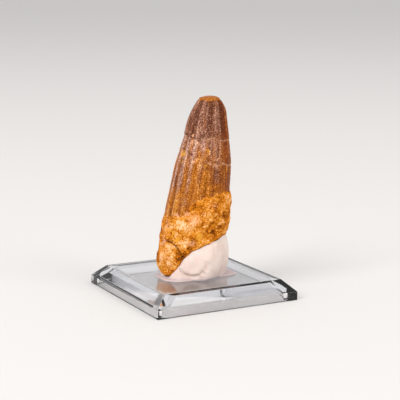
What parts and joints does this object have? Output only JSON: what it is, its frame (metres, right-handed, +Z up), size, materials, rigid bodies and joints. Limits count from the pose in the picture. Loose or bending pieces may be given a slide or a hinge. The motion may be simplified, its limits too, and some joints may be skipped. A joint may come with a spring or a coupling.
{
  "type": "spinosaurus tooth on a clear display base",
  "caption": "Fossil dinosaur tooth crown with a worn tip and crusted lower end, held upright by white putty on a square clear plastic base with sloped edges.",
  "frame": {"origin": "centre of the display base's square underside, on the surface that it stands on", "axes": "+Z up towards the tooth's tip, X and Y along the sides of the base; the tooth's broad side faces between -Y and -X, 28.8 degrees from -Y"},
  "size_m": [0.05, 0.05, 0.0645],
  "materials": {
    "tooth": "satin enamel over a granular crust",
    "mounting_putty": "matt, pressed by hand",
    "display_base": "clear and polished"
  },
  "bodies": {
    "root": {"display_base": "display_base", "tooth": "tooth", "mounting_putty": "mounting_putty"}
  },
  "joints": []
}
